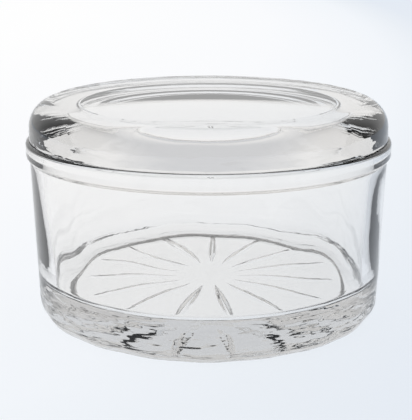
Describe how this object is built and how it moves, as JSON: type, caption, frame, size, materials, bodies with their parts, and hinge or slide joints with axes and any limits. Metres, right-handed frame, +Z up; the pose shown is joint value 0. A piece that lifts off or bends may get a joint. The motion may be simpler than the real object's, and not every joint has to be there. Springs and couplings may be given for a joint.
{
  "type": "dappen dish",
  "caption": "Round covered dappen dish in clear pressed glass: thick base with a star on its underside, beaded rim, and a loose lid with rounded shoulders.",
  "frame": {"origin": "centre of the foot, in the plane of the table it stands on", "axes": "+Z up along the dish's axis, out through the lid; the dish is round, so +X and +Y are free, and one ray of the star points 2 degrees off +Y"},
  "size_m": [0.07, 0.07, 0.042],
  "materials": {
    "bowl_glass": "clear pressed glass, smooth and glossy",
    "lid_glass": "clear pressed glass, smooth and glossy"
  },
  "bodies": {
    "bowl": {"bowl": "bowl_glass"},
    "lid": {"lid": "lid_glass"}
  },
  "joints": [
    {"name": "lid_lift", "type": "slide", "parent": "bowl", "child": "lid", "axis": [0, 0, 1], "range_m": [0, 0.055]}
  ]
}
